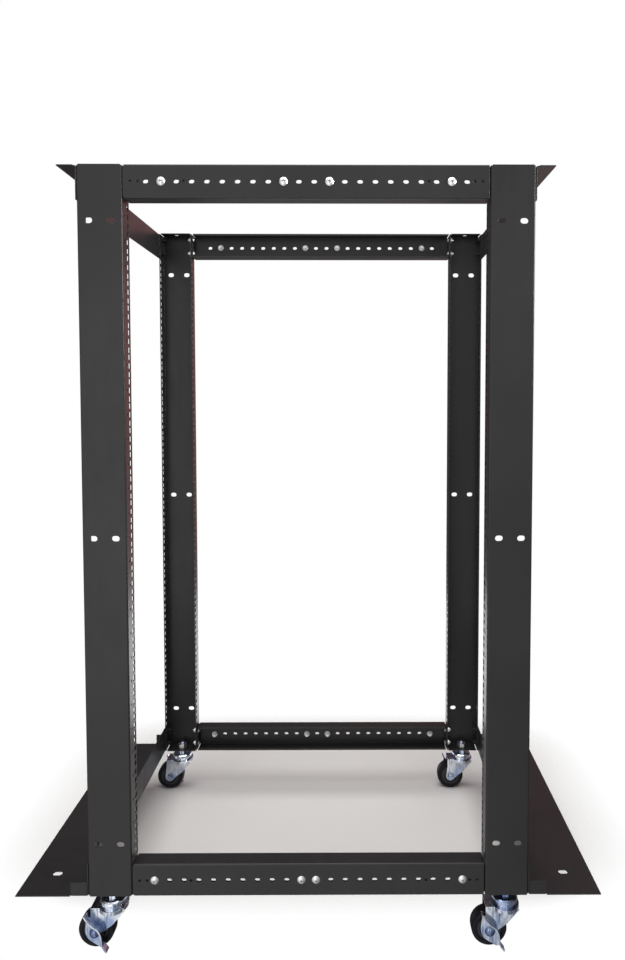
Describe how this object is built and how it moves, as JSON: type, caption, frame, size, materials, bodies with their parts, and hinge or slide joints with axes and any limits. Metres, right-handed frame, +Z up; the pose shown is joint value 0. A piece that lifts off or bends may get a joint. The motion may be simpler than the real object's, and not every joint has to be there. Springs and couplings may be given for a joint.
{
  "type": "open-frame server rack",
  "caption": "Open four-post 19-inch rack: punched channel posts, nested depth-setting side rails, floor plates with slots, swivel casters with brake levers.",
  "frame": {"origin": "on the floor under the middle of the rack", "axes": "+X from the front of the rack to its rear, +Y across the 19-inch width from its right side to its left, +Z up"},
  "size_m": [1.08, 0.541, 1.4302],
  "materials": {
    "powder_coat": "fine-texture black powder coat",
    "zinc": "bright zinc plate",
    "caster_plating": "bright zinc plate with a blue cast, pressed sheet",
    "black_fastener": "black oxide",
    "tyre": "matte black rubber",
    "wheel_core": "matte black moulded plastic"
  },
  "bodies": {
    "frame": {"post_front_right": "powder_coat", "post_front_left": "powder_coat", "post_rear_right": "powder_coat", "post_rear_left": "powder_coat", "beam_top_front": "powder_coat", "beam_top_rear": "powder_coat", "base_front": "powder_coat", "base_rear": "powder_coat", "rail_top_right_outer": "powder_coat", "rail_top_right_inner": "powder_coat", "rail_top_left_outer": "powder_coat", "rail_top_left_inner": "powder_coat", "rail_bottom_right_outer": "powder_coat", "rail_bottom_right_inner": "powder_coat", "rail_bottom_left_outer": "powder_coat", "rail_bottom_left_inner": "powder_coat", "depth_bolts": "zinc", "depth_nuts": "zinc", "rail_screws": "zinc", "rail_screw_nuts": "zinc", "beam_screws": "black_fastener", "beam_screw_nuts": "black_fastener", "stem_nuts": "zinc", "stem_front_right": "caster_plating", "stem_front_left": "caster_plating", "stem_rear_right": "caster_plating", "stem_rear_left": "caster_plating"},
    "swivel_front_right": {"fork_front_right": "caster_plating", "race_front_right": "caster_plating", "axle_front_right": "caster_plating", "axle_nut_front_right": "caster_plating"},
    "wheel_front_right": {"tyre_front_right": "tyre", "hub_front_right": "wheel_core"},
    "lever_front_right": {"brake_front_right": "caster_plating"},
    "swivel_front_left": {"fork_front_left": "caster_plating", "race_front_left": "caster_plating", "axle_front_left": "caster_plating", "axle_nut_front_left": "caster_plating"},
    "wheel_front_left": {"tyre_front_left": "tyre", "hub_front_left": "wheel_core"},
    "lever_front_left": {"brake_front_left": "caster_plating"},
    "swivel_rear_right": {"fork_rear_right": "caster_plating", "race_rear_right": "caster_plating", "axle_rear_right": "caster_plating", "axle_nut_rear_right": "caster_plating"},
    "wheel_rear_right": {"tyre_rear_right": "tyre", "hub_rear_right": "wheel_core"},
    "lever_rear_right": {"brake_rear_right": "caster_plating"},
    "swivel_rear_left": {"fork_rear_left": "caster_plating", "race_rear_left": "caster_plating", "axle_rear_left": "caster_plating", "axle_nut_rear_left": "caster_plating"},
    "wheel_rear_left": {"tyre_rear_left": "tyre", "hub_rear_left": "wheel_core"},
    "lever_rear_left": {"brake_rear_left": "caster_plating"}
  },
  "joints": [
    {"name": "swivel_front_right", "type": "hinge", "parent": "frame", "child": "swivel_front_right", "pos_m": [-0.365, -0.2425, 0.078], "axis": [0, 0, 1], "continuous": true},
    {"name": "roll_front_right", "type": "hinge", "parent": "swivel_front_right", "child": "wheel_front_right", "pos_m": [-0.395, -0.2425, 0.033], "axis": [0, 1, 0], "continuous": true},
    {"name": "brake_front_right", "type": "hinge", "parent": "swivel_front_right", "child": "lever_front_right", "pos_m": [-0.395, -0.2425, 0.033], "axis": [0, -1, 0], "range_deg": [0, 30]},
    {"name": "swivel_front_left", "type": "hinge", "parent": "frame", "child": "swivel_front_left", "pos_m": [-0.365, 0.2425, 0.078], "axis": [0, 0, 1], "continuous": true},
    {"name": "roll_front_left", "type": "hinge", "parent": "swivel_front_left", "child": "wheel_front_left", "pos_m": [-0.395, 0.2425, 0.033], "axis": [0, 1, 0], "continuous": true},
    {"name": "brake_front_left", "type": "hinge", "parent": "swivel_front_left", "child": "lever_front_left", "pos_m": [-0.395, 0.2425, 0.033], "axis": [0, -1, 0], "range_deg": [0, 30]},
    {"name": "swivel_rear_right", "type": "hinge", "parent": "frame", "child": "swivel_rear_right", "pos_m": [0.365, -0.2425, 0.078], "axis": [0, 0, 1], "continuous": true},
    {"name": "roll_rear_right", "type": "hinge", "parent": "swivel_rear_right", "child": "wheel_rear_right", "pos_m": [0.335, -0.2425, 0.033], "axis": [0, 1, 0], "continuous": true},
    {"name": "brake_rear_right", "type": "hinge", "parent": "swivel_rear_right", "child": "lever_rear_right", "pos_m": [0.335, -0.2425, 0.033], "axis": [0, -1, 0], "range_deg": [0, 30]},
    {"name": "swivel_rear_left", "type": "hinge", "parent": "frame", "child": "swivel_rear_left", "pos_m": [0.365, 0.2425, 0.078], "axis": [0, 0, 1], "continuous": true},
    {"name": "roll_rear_left", "type": "hinge", "parent": "swivel_rear_left", "child": "wheel_rear_left", "pos_m": [0.335, 0.2425, 0.033], "axis": [0, 1, 0], "continuous": true},
    {"name": "brake_rear_left", "type": "hinge", "parent": "swivel_rear_left", "child": "lever_rear_left", "pos_m": [0.335, 0.2425, 0.033], "axis": [0, -1, 0], "range_deg": [0, 30]}
  ]
}
